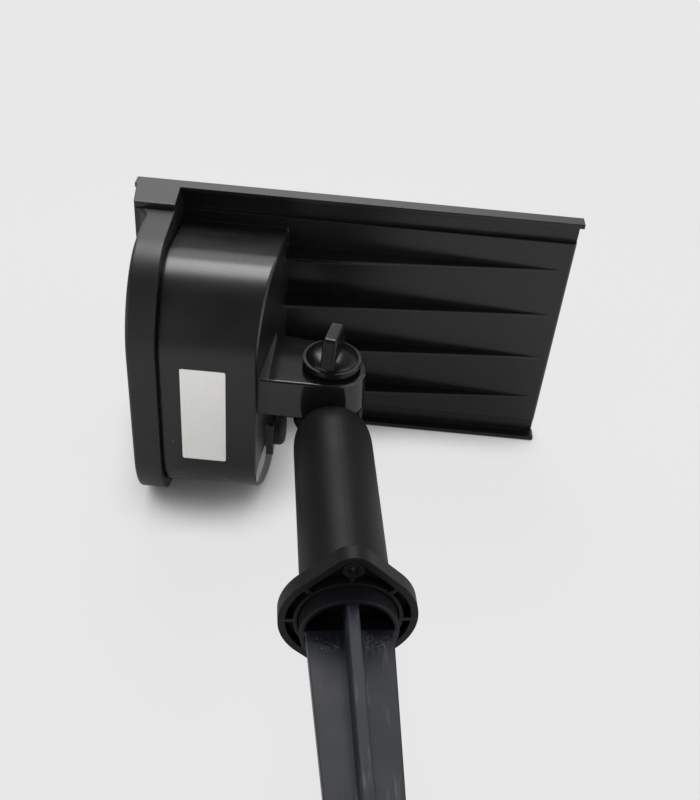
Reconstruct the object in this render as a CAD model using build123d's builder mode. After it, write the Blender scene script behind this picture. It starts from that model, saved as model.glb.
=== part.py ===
"""Solar spike light: a tilting solar head with a lamp, a stem with a screw flange, and a ground spike.

Origin: centre of the flange's underside. X is the hinge axis, with the wing knob on +X.
Y points to the rear, Z up the stem.
Head sizes run along the head's own axes: u back from the tray's front edge, n down from the tray's top face.
"""
import os
from math import cos, radians, sin, tan

from build123d import *

os.makedirs("parts", exist_ok=True)

# Clearances
FIT = 0.3             # between pieces set in by hand
PIN_FIT = 0.08        # radial, bolt in its holes and plug in the stem
SLIDE_FIT = 0.25      # radial, button in its guide
SEAT_GAP = 0.1        # between faces that bear on each other
QUARTER_TURN = 90.0   # degrees

# Head attitude and hinge
TILT = 7.5            # degrees, rear end down
HINGE_H = 109.5       # axis above the flange's underside
HINGE_U = 87.4
HINGE_DROP = 62.6

# Panel tray
TRAY_L = 185.0
TRAY_W = 117.0
PLATE_W = 96.2
PLATE_T = 3.9
MARGIN_T = 1.7
LIP_H = 5.9
LIP_T = 1.9
LIP_OVER = 0.9        # lips run past the plate's free end
PLATE_END_R = 1.5
RIB_COUNT = 4
RIB_PITCH = 23.0
RIB_T = 1.6
RIB_ROOT = 11.9       # rib depth at the bowl
RIB_STOP = 4.4        # rib tip short of the free end

# Solar laminate
PANEL_L = 166.0
PANEL_W = 90.0
PANEL_T = 1.6
SEAL_T = 0.4
PANEL_SUNK = 0.2

# Visor block across the tray's front
VISOR_H = 21.2
VISOR_EDGE_R = 0.6
VISOR_LEAN = 8.0      # degrees, the visor's front face leans back towards its lower edge

# Lamp bowl
BOWL_DEPTH = 78.7
BOWL_BACK = 63.5      # upright upper half of the rear wall
KNEE_DROP = 45.0         # lower half leans forward from here
KNEE_R = 80.0
BACK_LEAN = 5.6       # degrees
BOWL_NECK = 42.8      # half width where the bowl leaves the plate
FLARE = 13.5          # degrees, sides spread away from the plate
BOWL_R = 30.0         # lower corners
BOWL_EDGE_R = 1.2
WALL = 2.6
GROOVE_W = 1.0
GROOVE_D = 1.3

# Front bezel and lamp
FRONT_LEAN = 2.8      # degrees, the lamp's front leans back towards the bottom
BEZEL_BACK = 18.4
BEZEL_D = 11.0
BEZEL_PROUD = 2.0
BEZEL_LIP_T = 2.6
BEZEL_LIP_W = 3.2     # lip in front of the lens
BEZEL_EDGE_R = 1.2
HOOD_INSET = 2.3      # bezel's upper ends from the visor's sides
HOOD_FLARE = 4.0      # degrees
HOOD_R = 32.5         # bezel's lower corners
BROW_H = 8.0          # cove between the visor's lower edge and the bezel's front
BROW_EDGE_T = 0.7
LENS_T = 2.2
LENS_TOP_R = 6.0
GASKET_T = 1.0
GASKET_W = 2.4
BOSS_R = 3.0
BOSS_L = 14.0
BEZEL_SCREW_R = 1.4
BEZEL_SCREW_L = 17.0
BEZEL_HEAD_R = 2.6
BEZEL_HEAD_H = 1.8
SCREW_DROP = 27.6
BOARD_T = 1.6
LED_BOARD_W = 88.0
LED_BOARD_H = 28.0
LED_BOARD_DROP = 47.2
LED_BOARD_U = 25.6    # rear face
LED_COLS = 8
LED_ROWS = 3
LED_PITCH_X = 9.0
LED_PITCH_Y = 7.0
LED_SIZE = 3.5
LED_T = 0.8
LED_MARGIN = 2.5      # reflector's window round the LEDs
REFLECTOR_T = 1.2
POST_R = 2.5
POST_X = 38.5
POST_RISE = 10.4
LED_SCREW_R = 1.0
LED_SCREW_L = 8.0
LED_HEAD_R = 1.9
LED_HEAD_H = 1.3

# Push button, its pad and the board behind it
PAD_X = -28.5
PAD_DROP = 50.0
PAD_W = 18.0
PAD_H = 16.0
PAD_T = 2.2
PAD_R = 2.0
BUTTON_R = 6.6
BUTTON_H = 4.5
BUTTON_DOME = 2.6
BUTTON_FLANGE_R = 7.8
BUTTON_FLANGE_T = 1.0
BUTTON_TRAVEL = 1.0
SWITCH_W = 6.0
SWITCH_T = 3.0
SWITCH_CAP_R = 1.7
SWITCH_CAP_H = 0.8
CONTROL_W = 30.0
CONTROL_H = 26.0
CONTROL_SHIFT = 8.5   # board's centre from the button towards the middle
CONTROL_POST_R = 2.0
CONTROL_SCREW_R = 0.9
CONTROL_SCREW_L = 5.0
CONTROL_HEAD_R = 1.7
CONTROL_HEAD_H = 1.0

# Battery
CELL_R = 9.2
CELL_L = 65.0
CELL_U = 38.2
CONTACT_T = 1.2
CONTACT_R = 5.0
HOLDER_T = 1.6
HOLDER_SIDE = 11.0    # height of the holder's walls
HOLDER_LIFT = 4.8     # holder's base above the bowl's floor
FOOT_W = 6.0
FOOT_X = 14.0

# Hinge arm, bolt and knob
ARM_INNER = 1.6          # arm's inner face from the middle plane
ARM_T = 16.5
ARM_R = 13.9
ARM_ROOT_UP = 18.1
ARM_EDGE_R = 0.8
BOLT_R = 2.5
BOLT_PAST = 1.5       # bolt's end past the nut
BOLT_GRIP = 8.0       # bolt's length in the knob
WASHER_R = 6.0
WASHER_T = 2.0
KNOB_LIFT = 1.4
KNOB_R = 11.4
KNOB_RIM = 2.4
KNOB_STEP = 1.2
KNOB_DOME = 3.2
KNOB_H = 14.6
KNOB_TURN = 10.0      # degrees, the wing as photographed
WING_T = 5.4
WING_TOP = 14.3
WING_CORNER_R = 2.4
WING_EDGE_R = 0.9
FRICTION_R = 11.0
FRICTION_T = 0.9
NUT_AF = 8.0
NUT_T = 4.0

# Stem
TUBE_R = 15.0
TUBE_WALL = 2.5
TUBE_ROOF = 8.0
TONGUE_T = 10.0
NECK_HALF = 11.5
SHOULDER_TOP = 18.0   # below the hinge axis
SHOULDER_DROP = 12.0
FLANGE_R = 22.4
FLANGE_H = 5.3
FLANGE_TOP_T = 1.4
EAR_R = 7.2
EAR_X = 21.6
SCREW_X = 22.9
SCREW_HOLE_R = 1.75
SCREW_BOSS_R = 3.3
RIM_T = 2.4
RING_R = 17.5
RING_T = 1.3
FLANGE_RIBS = 4       # each runs right across, so twice as many spokes
FLANGE_RIB_T = 1.4

# Spike
CUP_R = 15.75
CUP_WALL = 1.5
CUP_DROP = 5.4        # below the flange's underside
CUP_ROOF = 2.0
PLUG_L = 26.0
PLUG_WALL = 2.2
BLADE_W = 27.6
BLADE_T = 4.0
FIN_T = 3.6
WEB_T = 2.4
BLADE_END_W = 12.0
SPIKE_L = 195.0       # below the flange's underside
POINT_L = 28.0
POINT_W = 1.6

# Planes and axes of the head, through the hinge axis
HEAD = Plane(origin=(0, 0, HINGE_H), x_dir=(1, 0, 0), z_dir=(0, sin(radians(TILT)), cos(radians(TILT))))
FORWARD = Plane(origin=HEAD.origin, x_dir=HEAD.x_dir, z_dir=HEAD.y_dir * -1)
SIDE = Plane(origin=HEAD.origin, x_dir=HEAD.y_dir, z_dir=HEAD.x_dir)
REAR_AXIS = Axis(HEAD.origin, HEAD.y_dir)
UP_AXIS = Axis(HEAD.origin, HEAD.z_dir)
LEAN = tan(radians(FRONT_LEAN))
VISOR_RAKE = tan(radians(VISOR_LEAN))
BACK = tan(radians(BACK_LEAN))
SPREAD = tan(radians(FLARE))
SLANT = cos(radians(FLARE))


def at(u, n):
    """Point of the SIDE plane u behind the tray's front edge and n under its top face."""
    return (u - HINGE_U, HINGE_DROP - n)


def face_at(u):
    """Plane square to the head's length, u behind the tray's front edge, seen from the front."""
    return FORWARD.offset(HINGE_U - u)


def front_u(n):
    """The bezel's rear face at depth n."""
    return BEZEL_BACK + n * LEAN


def back_u(n):
    """The bowl's rear face at depth n."""
    return BOWL_BACK - max(n - KNEE_DROP, 0) * BACK


def bell_half(n, grow=0.0):
    """Half width of the bowl's flared sides at depth n, before the lower corners round off."""
    return BOWL_NECK + (n - PLATE_T) * SPREAD + grow / SLANT


def bell(grow, top, top_r=0.0):
    """The bowl's section from the front: sides that spread downwards, round lower corners, flat underside."""
    low = BOWL_DEPTH + grow
    with BuildSketch() as section:
        with BuildLine():
            Polyline(
                (bell_half(top, grow), HINGE_DROP - top),
                (bell_half(low, grow), HINGE_DROP - low),
                (-bell_half(low, grow), HINGE_DROP - low),
                (-bell_half(top, grow), HINGE_DROP - top),
                close=True,
            )
        make_face()
        fillet(section.vertices().group_by(Axis.Y)[0], radius=BOWL_R + grow)
        if top_r > 0:
            fillet(section.vertices().group_by(Axis.Y)[-1], radius=top_r)
    return section.sketch


def leaning(rear, front):
    """Side view of a leaning slice of the lamp, between two distances in front of the bezel's rear face."""
    with BuildSketch() as cut:
        with BuildLine():
            Polyline(
                at(front_u(0) - rear, 0),
                at(front_u(DEEP) - rear, DEEP),
                at(front_u(DEEP) - front, DEEP),
                at(front_u(0) - front, 0),
                close=True,
            )
        make_face()
    return cut.sketch


def hood():
    """The bezel's outline from the front: sides that spread a little from the visor, round lower corners."""
    low = BOWL_DEPTH + BEZEL_PROUD
    top_half = TRAY_W / 2 - HOOD_INSET
    low_half = top_half + (low - BEZEL_TOP) * tan(radians(HOOD_FLARE))
    with BuildSketch() as outline:
        with BuildLine():
            Polyline(
                (top_half, HINGE_DROP - BEZEL_TOP),
                (low_half, HINGE_DROP - low),
                (-low_half, HINGE_DROP - low),
                (-top_half, HINGE_DROP - BEZEL_TOP),
                close=True,
            )
        make_face()
        fillet(outline.vertices().group_by(Axis.Y)[0], radius=HOOD_R)
    return outline.sketch


def brow():
    """Side view of the bezel's brow, which runs forward under the visor with an elliptical cove below it."""
    tip = VISOR_H * VISOR_RAKE + VISOR_EDGE_R
    low = BEZEL_TOP + BROW_EDGE_T + BROW_H
    face = front_u(low) - BEZEL_D
    with BuildSketch() as view:
        with BuildLine():
            Polyline(
                at(face, low),
                at(face + BEZEL_LIP_T, low),
                at(face + BEZEL_LIP_T, BEZEL_TOP),
                at(tip, BEZEL_TOP),
                at(tip, BEZEL_TOP + BROW_EDGE_T),
            )
            EllipticalCenterArc(at(tip, low), face - tip, BROW_H, start_angle=0, arc_size=QUARTER_TURN)
        make_face()
    return view.sketch


def bowl_side(front, inset):
    """Side view of the bowl, from a line behind the bezel's rear face to a line set in from the rear wall."""
    with BuildSketch() as view:
        with BuildLine():
            Polyline(
                at(front_u(0) + front, 0),
                at(front_u(DEEP) + front, DEEP),
                at(back_u(DEEP) - inset, DEEP),
                at(back_u(KNEE_DROP) - inset, KNEE_DROP),
                at(back_u(0) - inset, 0),
                close=True,
            )
        make_face()
        knee = view.vertices().sort_by_distance((*at(back_u(KNEE_DROP) - inset, KNEE_DROP), 0))[0]
        fillet(knee, radius=KNEE_R)
    return view.sketch


# Places that follow from the sizes above
DEEP = BOWL_DEPTH + BEZEL_PROUD + WALL
REACH = HINGE_U + HINGE_DROP
PLATE_L = TRAY_L - LIP_OVER
POCKET_T = PANEL_T + SEAL_T + PANEL_SUNK
SCREW_INSET = GROOVE_D + BOSS_R
RING_IN = SCREW_INSET + BOSS_R + FIT
LENS_INSET = RING_IN + FIT
OPEN_INSET = RING_IN + BEZEL_LIP_W
BEZEL_TOP = VISOR_H + SEAT_GAP
REBATE_TOP = BEZEL_TOP + RING_IN
LENS_FRONT = BEZEL_D - BEZEL_LIP_T - GASKET_T
LENS_BACK = LENS_FRONT - LENS_T
LED_FACE = LED_BOARD_U - BOARD_T
PAD_FACE = back_u(PAD_DROP) + PAD_T
PAD_Y = HINGE_DROP - PAD_DROP
FLANGE_FACE = back_u(PAD_DROP + BUTTON_FLANGE_R) - WALL - SEAT_GAP
SWITCH_FACE = FLANGE_FACE - BUTTON_FLANGE_T - BUTTON_TRAVEL - SEAT_GAP
CONTROL_FACE = SWITCH_FACE - SWITCH_CAP_H - SWITCH_T
CONTROL_X = PAD_X + CONTROL_SHIFT
HOLDER_DROP = BOWL_DEPTH - WALL - HOLDER_LIFT
CELL_DROP = HOLDER_DROP - HOLDER_T - CELL_R
ARM_OUTER = ARM_INNER + ARM_T
TONGUE_OUT = ARM_INNER - SEAT_GAP - FRICTION_T
NUT_OUT = TONGUE_OUT - TONGUE_T
SOCKET_H = FLANGE_H - FLANGE_TOP_T
CUP_TOP = SOCKET_H - SEAT_GAP
BORE_R = TUBE_R - TUBE_WALL
SHOULDER_Z = HINGE_H - SHOULDER_TOP

# Screws of the bezel sit on the flared sides and at 45 degrees round the lower corners
CORNER_X = bell_half(BOWL_DEPTH) - BOWL_R / tan(radians((QUARTER_TURN - FLARE) / 2))
CORNER_Y = HINGE_DROP - BOWL_DEPTH + BOWL_R
SCREW_SWING = (BOWL_R - SCREW_INSET) * sin(radians(QUARTER_TURN / 2))
BEZEL_SCREWS = [
    (side * x, y)
    for side in (1, -1)
    for x, y in (
        (bell_half(SCREW_DROP, -SCREW_INSET), HINGE_DROP - SCREW_DROP),
        (CORNER_X + SCREW_SWING, CORNER_Y - SCREW_SWING),
    )
]
LED_POSTS = [
    (side * POST_X, HINGE_DROP - LED_BOARD_DROP + rise)
    for side in (1, -1)
    for rise in (POST_RISE, -POST_RISE)
]
CONTROL_POSTS = [
    (CONTROL_X + side * (CONTROL_W / 2 - CONTROL_POST_R), PAD_Y + rise * (CONTROL_H / 2 - CONTROL_POST_R))
    for side in (1, -1)
    for rise in (1, -1)
]

# Bowl, outside of the full section behind the groove
with BuildPart() as bowl_skin:
    with BuildSketch(face_at(TRAY_L)):
        add(bell(0, MARGIN_T))
    extrude(amount=TRAY_L)
    with BuildSketch(SIDE):
        add(bowl_side(GROOVE_W, 0))
    extrude(amount=TRAY_W, both=True, mode=Mode.INTERSECT)
    rear_edges = bowl_skin.faces().filter_by(lambda f: f.normal_at().dot(HEAD.y_dir) > SLANT).edges()
    across = rear_edges.filter_by(Axis.X).sort_by(UP_AXIS)
    fillet(rear_edges.filter_by(Axis.X, reverse=True) + across[:1], radius=BOWL_EDGE_R)

# Narrower neck that the bezel sits on, which leaves the groove
with BuildPart() as bowl_neck:
    with BuildSketch(face_at(TRAY_L)):
        add(bell(-GROOVE_D, MARGIN_T))
    extrude(amount=TRAY_L)
    with BuildSketch(SIDE):
        add(leaning(-GROOVE_W - WALL, 0))
    extrude(amount=TRAY_W, both=True, mode=Mode.INTERSECT)

# Inside of the bowl, open to the front
with BuildPart() as bowl_hollow:
    with BuildSketch(face_at(TRAY_L)):
        add(bell(-WALL, PLATE_T))
    extrude(amount=TRAY_L)
    with BuildSketch(SIDE):
        add(bowl_side(-WALL, WALL))
    extrude(amount=TRAY_W, both=True, mode=Mode.INTERSECT)

# Screw bosses on the bowl's inner wall, cut to the bezel's leaning rear face
with BuildPart() as bosses:
    with BuildSketch(face_at(TRAY_L)):
        with Locations(*BEZEL_SCREWS):
            Circle(BOSS_R)
            Circle(BEZEL_SCREW_R + PIN_FIT, mode=Mode.SUBTRACT)
    extrude(amount=TRAY_L)
    with BuildSketch(SIDE):
        add(leaning(-BOSS_L, 0))
    extrude(amount=TRAY_W, both=True, mode=Mode.INTERSECT)

# Hinge arm: round end about the hinge axis, deeper root on the bowl's back
with BuildPart() as arm:
    with BuildSketch(SIDE.offset(ARM_INNER)):
        Circle(ARM_R)
        with Locations((back_u(BOWL_DEPTH) - HINGE_U, (ARM_ROOT_UP - ARM_R) / 2)):
            Rectangle(WALL, ARM_ROOT_UP + ARM_R)
        make_hull()
    extrude(amount=ARM_T)
    fillet(arm.faces().sort_by(Axis.X)[-1].edges(), radius=ARM_EDGE_R)

# Head shell: tray, visor, bowl, ribs, pad and arm in one moulding
with BuildPart() as head_shell:
    with BuildSketch(HEAD.offset(HINGE_DROP)):
        with Locations((0, PLATE_L / 2 - HINGE_U)):
            Rectangle(TRAY_W, PLATE_L)
    extrude(amount=-MARGIN_T)
    with BuildSketch(HEAD.offset(HINGE_DROP)):
        with Locations((0, PLATE_L / 2 - HINGE_U)):
            Rectangle(PLATE_W, PLATE_L)
    extrude(amount=-PLATE_T)
    free_end = head_shell.edges().filter_by(Axis.X).group_by(REAR_AXIS)[-1]
    fillet(free_end.sort_by(UP_AXIS)[0], radius=PLATE_END_R)
    with BuildSketch(HEAD.offset(HINGE_DROP)):
        with Locations((0, TRAY_L / 2 - HINGE_U)):
            with GridLocations(TRAY_W - LIP_T, 0, 2, 1):
                Rectangle(LIP_T, TRAY_L)
    extrude(amount=-LIP_H)
    with BuildSketch(SIDE):
        with BuildLine():
            Polyline(
                at(0, 0),
                at(front_u(0), 0),
                at(front_u(VISOR_H), VISOR_H),
                at(VISOR_H * VISOR_RAKE, VISOR_H),
                close=True,
            )
        make_face()
    extrude(amount=TRAY_W / 2, both=True)
    visor_base = head_shell.faces().sort_by(UP_AXIS)[0].edges()
    fillet(visor_base.sort_by(REAR_AXIS)[:-1], radius=VISOR_EDGE_R)
    add(bowl_skin.part)
    add(bowl_neck.part)
    add(bowl_hollow.part, mode=Mode.SUBTRACT)
    with BuildSketch(SIDE):
        with BuildLine():
            Polyline(
                at(WALL + PLATE_T * VISOR_RAKE, PLATE_T),
                at(front_u(PLATE_T), PLATE_T),
                at(front_u(VISOR_H - WALL), VISOR_H - WALL),
                at(WALL + (VISOR_H - WALL) * VISOR_RAKE, VISOR_H - WALL),
                close=True,
            )
        make_face()
    extrude(amount=BOWL_NECK - 2 * WALL, both=True, mode=Mode.SUBTRACT)
    add(bosses.part)
    for post in LED_POSTS:
        with BuildSketch(face_at(LED_BOARD_U)):
            with Locations(post):
                Circle(POST_R)
                Circle(LED_SCREW_R + PIN_FIT, mode=Mode.SUBTRACT)
        extrude(amount=LED_BOARD_U - back_u(HINGE_DROP - post[1]) + WALL / 2)
    for index in range(RIB_COUNT):
        middle = (index - (RIB_COUNT - 1) / 2) * RIB_PITCH
        with BuildSketch(SIDE.offset(middle - RIB_T / 2)):
            with BuildLine():
                Polyline(
                    at(back_u(PLATE_T) - WALL / 2, POCKET_T),
                    at(PLATE_L - RIB_STOP, POCKET_T),
                    at(PLATE_L - RIB_STOP, PLATE_T),
                    at(back_u(PLATE_T) - WALL / 2, PLATE_T + RIB_ROOT),
                    close=True,
                )
            make_face()
        extrude(amount=RIB_T)
    add(arm.part)
    with BuildSketch(face_at(PAD_FACE)):
        with Locations((PAD_X, PAD_Y)):
            RectangleRounded(PAD_W, PAD_H, PAD_R)
    extrude(amount=PAD_T + WALL / 2)
    for post in CONTROL_POSTS:
        with BuildSketch(face_at(CONTROL_FACE)):
            with Locations(post):
                Circle(CONTROL_POST_R)
                Circle(CONTROL_SCREW_R + PIN_FIT, mode=Mode.SUBTRACT)
        extrude(amount=CONTROL_FACE - back_u(HINGE_DROP - post[1]) + WALL / 2)
    with BuildSketch(face_at(PAD_FACE)):
        with Locations((PAD_X, PAD_Y)):
            Circle(BUTTON_R + SLIDE_FIT)
    extrude(amount=PAD_T + 2 * WALL, mode=Mode.SUBTRACT)
    with BuildSketch(HEAD.offset(HINGE_DROP)):
        with Locations((0, PLATE_L / 2 - HINGE_U)):
            Rectangle(PANEL_W + 2 * FIT, PANEL_L + 2 * FIT)
    extrude(amount=-POCKET_T, mode=Mode.SUBTRACT)
    with BuildSketch(SIDE):
        Circle(BOLT_R + PIN_FIT)
    extrude(amount=ARM_OUTER, mode=Mode.SUBTRACT)

# Solar laminate in the tray's pocket, on its adhesive bed
with BuildPart() as panel_seal:
    with BuildSketch(HEAD.offset(HINGE_DROP - POCKET_T)):
        with Locations((0, PLATE_L / 2 - HINGE_U)):
            Rectangle(PANEL_W, PANEL_L)
    extrude(amount=SEAL_T)

with BuildPart() as solar_panel:
    with BuildSketch(HEAD.offset(HINGE_DROP - POCKET_T + SEAL_T)):
        with Locations((0, PLATE_L / 2 - HINGE_U)):
            Rectangle(PANEL_W, PANEL_L)
    extrude(amount=PANEL_T)

# Front bezel: a hood under the visor with a coved brow, a rebate for the lens and sunk screw heads
with BuildPart() as rebate:
    with BuildSketch(face_at(TRAY_L)):
        add(bell(-RING_IN, REBATE_TOP, LENS_TOP_R + FIT))
    extrude(amount=TRAY_L + REACH)
    with BuildSketch(SIDE):
        add(leaning(-WALL, BEZEL_D - BEZEL_LIP_T))
    extrude(amount=TRAY_W, both=True, mode=Mode.INTERSECT)

with BuildPart() as head_sinks:
    with BuildSketch(face_at(TRAY_L)):
        with Locations(*BEZEL_SCREWS):
            Circle(BEZEL_HEAD_R + FIT)
    extrude(amount=TRAY_L + REACH)
    with BuildSketch(SIDE):
        add(leaning(BEZEL_D - BEZEL_HEAD_H - FIT, BEZEL_D + WALL))
    extrude(amount=TRAY_W, both=True, mode=Mode.INTERSECT)

with BuildPart() as front_bezel:
    with BuildSketch(face_at(TRAY_L)):
        add(hood())
    extrude(amount=TRAY_L + REACH)
    with BuildSketch(SIDE):
        add(leaning(0, BEZEL_D))
        add(brow())
    extrude(amount=TRAY_W, both=True, mode=Mode.INTERSECT)
    front_face = front_bezel.faces().filter_by(GeomType.PLANE).sort_by(SortBy.AREA)[-2]
    front_edges = front_face.edges().sort_by(UP_AXIS)
    fillet(front_edges[:-1], radius=BEZEL_EDGE_R)
    add(rebate.part, mode=Mode.SUBTRACT)
    with BuildSketch(face_at(TRAY_L)):
        add(bell(-OPEN_INSET, REBATE_TOP + BEZEL_LIP_W, LENS_TOP_R))
        with Locations(*BEZEL_SCREWS):
            Circle(BEZEL_SCREW_R + PIN_FIT)
    extrude(amount=TRAY_L + REACH, mode=Mode.SUBTRACT)
    add(head_sinks.part, mode=Mode.SUBTRACT)

with BuildPart() as bezel_screws:
    with BuildSketch(face_at(TRAY_L)):
        with Locations(*BEZEL_SCREWS):
            Circle(BEZEL_HEAD_R)
    extrude(amount=TRAY_L + REACH)
    with BuildSketch(SIDE):
        add(leaning(BEZEL_D - BEZEL_HEAD_H - FIT, BEZEL_D - FIT))
    extrude(amount=TRAY_W, both=True, mode=Mode.INTERSECT)
    for x, y in BEZEL_SCREWS:
        with BuildSketch(face_at(front_u(HINGE_DROP - y) - BEZEL_D + BEZEL_HEAD_H)):
            with Locations((x, y)):
                Circle(BEZEL_SCREW_R)
        extrude(amount=-BEZEL_SCREW_L)

# Lens, pressed on its gasket against the bezel's lip
with BuildPart() as lens:
    with BuildSketch(face_at(TRAY_L)):
        add(bell(-LENS_INSET, REBATE_TOP + FIT, LENS_TOP_R))
    extrude(amount=TRAY_L + REACH)
    with BuildSketch(SIDE):
        add(leaning(LENS_BACK, LENS_FRONT))
    extrude(amount=TRAY_W, both=True, mode=Mode.INTERSECT)

with BuildPart() as lens_gasket:
    with BuildSketch(face_at(TRAY_L)):
        add(bell(-LENS_INSET, REBATE_TOP + FIT, LENS_TOP_R))
        inside = bell(-LENS_INSET - GASKET_W, REBATE_TOP + FIT + GASKET_W, LENS_TOP_R - GASKET_W)
        add(inside, mode=Mode.SUBTRACT)
    extrude(amount=TRAY_L + REACH)
    with BuildSketch(SIDE):
        add(leaning(LENS_FRONT, LENS_FRONT + GASKET_T))
    extrude(amount=TRAY_W, both=True, mode=Mode.INTERSECT)

# Reflector: a white tray from the LED board to the lens, with a window for the LEDs
with BuildPart() as lamp_room:
    with BuildSketch(face_at(LED_FACE)):
        add(bell(-LENS_INSET, REBATE_TOP + FIT, LENS_TOP_R))
    extrude(amount=LED_FACE + REACH)
    with BuildSketch(SIDE):
        add(leaning(-TRAY_L, LENS_BACK))
    extrude(amount=TRAY_W, both=True, mode=Mode.INTERSECT)

with BuildPart() as reflector:
    add(lamp_room.part)
    with BuildSketch(face_at(LED_FACE - REFLECTOR_T)):
        add(bell(-LENS_INSET - REFLECTOR_T, REBATE_TOP + FIT + REFLECTOR_T, LENS_TOP_R - REFLECTOR_T))
    extrude(amount=LED_FACE + REACH, mode=Mode.SUBTRACT)
    with BuildSketch(face_at(LED_FACE)):
        with Locations((0, HINGE_DROP - LED_BOARD_DROP)):
            Rectangle(
                (LED_COLS - 1) * LED_PITCH_X + LED_SIZE + 2 * LED_MARGIN,
                (LED_ROWS - 1) * LED_PITCH_Y + LED_SIZE + 2 * LED_MARGIN,
            )
        with Locations(*LED_POSTS):
            Circle(LED_SCREW_R + PIN_FIT)
    extrude(amount=REFLECTOR_T, mode=Mode.SUBTRACT)

with BuildPart() as led_board:
    with BuildSketch(face_at(LED_BOARD_U)):
        with Locations((0, HINGE_DROP - LED_BOARD_DROP)):
            Rectangle(LED_BOARD_W, LED_BOARD_H)
        with Locations(*LED_POSTS):
            Circle(LED_SCREW_R + PIN_FIT, mode=Mode.SUBTRACT)
    extrude(amount=BOARD_T)

with BuildPart() as leds:
    with BuildSketch(face_at(LED_FACE)):
        with Locations((0, HINGE_DROP - LED_BOARD_DROP)):
            with GridLocations(LED_PITCH_X, LED_PITCH_Y, LED_COLS, LED_ROWS):
                Rectangle(LED_SIZE, LED_SIZE)
    extrude(amount=LED_T)

with BuildPart() as led_screws:
    with BuildSketch(face_at(LED_FACE - REFLECTOR_T)):
        with Locations(*LED_POSTS):
            Circle(LED_HEAD_R)
    extrude(amount=LED_HEAD_H)
    with BuildSketch(face_at(LED_FACE - REFLECTOR_T)):
        with Locations(*LED_POSTS):
            Circle(LED_SCREW_R)
    extrude(amount=-LED_SCREW_L)

# Push button: domed cap through the pad, held in by a flange behind the wall
with BuildPart() as push_button:
    with BuildSketch(face_at(FLANGE_FACE)):
        with Locations((PAD_X, PAD_Y)):
            Circle(BUTTON_FLANGE_R)
    extrude(amount=BUTTON_FLANGE_T)
    with BuildSketch(face_at(FLANGE_FACE)):
        with Locations((PAD_X, PAD_Y)):
            Circle(BUTTON_R)
    extrude(amount=FLANGE_FACE - PAD_FACE - BUTTON_H)
    crown = push_button.faces().sort_by(REAR_AXIS)[-1].edges()
    fillet(crown, radius=BUTTON_DOME)

with BuildPart() as tact_switch:
    with BuildSketch(face_at(CONTROL_FACE)):
        with Locations((PAD_X, PAD_Y)):
            Rectangle(SWITCH_W, SWITCH_W)
    extrude(amount=-SWITCH_T)
    with BuildSketch(face_at(CONTROL_FACE)):
        with Locations((PAD_X, PAD_Y)):
            Circle(SWITCH_CAP_R)
    extrude(amount=-SWITCH_T - SWITCH_CAP_H)

with BuildPart() as control_board:
    with BuildSketch(face_at(CONTROL_FACE)):
        with Locations((CONTROL_X, PAD_Y)):
            Rectangle(CONTROL_W, CONTROL_H)
        with Locations(*CONTROL_POSTS):
            Circle(CONTROL_SCREW_R + PIN_FIT, mode=Mode.SUBTRACT)
    extrude(amount=BOARD_T)

with BuildPart() as control_screws:
    with BuildSketch(face_at(CONTROL_FACE - BOARD_T)):
        with Locations(*CONTROL_POSTS):
            Circle(CONTROL_HEAD_R)
    extrude(amount=CONTROL_HEAD_H)
    with BuildSketch(face_at(CONTROL_FACE - BOARD_T)):
        with Locations(*CONTROL_POSTS):
            Circle(CONTROL_SCREW_R)
    extrude(amount=-CONTROL_SCREW_L)

# Battery cell across the bowl, between its contacts, in a trough on two feet
with BuildPart() as battery_cell:
    with BuildSketch(SIDE.offset(-CELL_L / 2)):
        with Locations(at(CELL_U, CELL_DROP)):
            Circle(CELL_R)
    extrude(amount=CELL_L)

with BuildPart() as battery_contacts:
    with BuildSketch(SIDE.offset(CELL_L / 2)):
        with Locations(at(CELL_U, CELL_DROP)):
            Circle(CONTACT_R)
    extrude(amount=CONTACT_T)
    mirror(about=SIDE)

with BuildPart() as battery_holder:
    with BuildSketch(HEAD.offset(HINGE_DROP - HOLDER_DROP)):
        with Locations((0, CELL_U - HINGE_U)):
            Rectangle(CELL_L + 2 * CONTACT_T + 2 * HOLDER_T, 2 * (CELL_R + FIT + HOLDER_T))
    extrude(amount=HOLDER_T + HOLDER_SIDE)
    with BuildSketch(HEAD.offset(HINGE_DROP - HOLDER_DROP + HOLDER_T)):
        with Locations((0, CELL_U - HINGE_U)):
            Rectangle(CELL_L + 2 * CONTACT_T, 2 * (CELL_R + FIT))
    extrude(amount=HOLDER_SIDE, mode=Mode.SUBTRACT)
    with BuildSketch(HEAD.offset(HINGE_DROP - HOLDER_DROP)):
        with Locations((0, CELL_U - HINGE_U)):
            with GridLocations(2 * FOOT_X, 0, 2, 1):
                Rectangle(FOOT_W, 2 * CELL_R)
    extrude(amount=-HOLDER_LIFT)

# Wing knob on the hinge bolt, over a plain washer
KNOB = Plane(
    origin=HEAD.origin + HEAD.x_dir * (ARM_OUTER + KNOB_LIFT),
    x_dir=HEAD.z_dir * cos(radians(KNOB_TURN)) + HEAD.y_dir * sin(radians(KNOB_TURN)),
    z_dir=HEAD.y_dir * cos(radians(KNOB_TURN)) - HEAD.z_dir * sin(radians(KNOB_TURN)),
)

with BuildPart() as knob_washer:
    with BuildSketch(SIDE.offset(ARM_OUTER)):
        Circle(WASHER_R)
        Circle(BOLT_R + PIN_FIT, mode=Mode.SUBTRACT)
    extrude(amount=WASHER_T)

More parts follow.
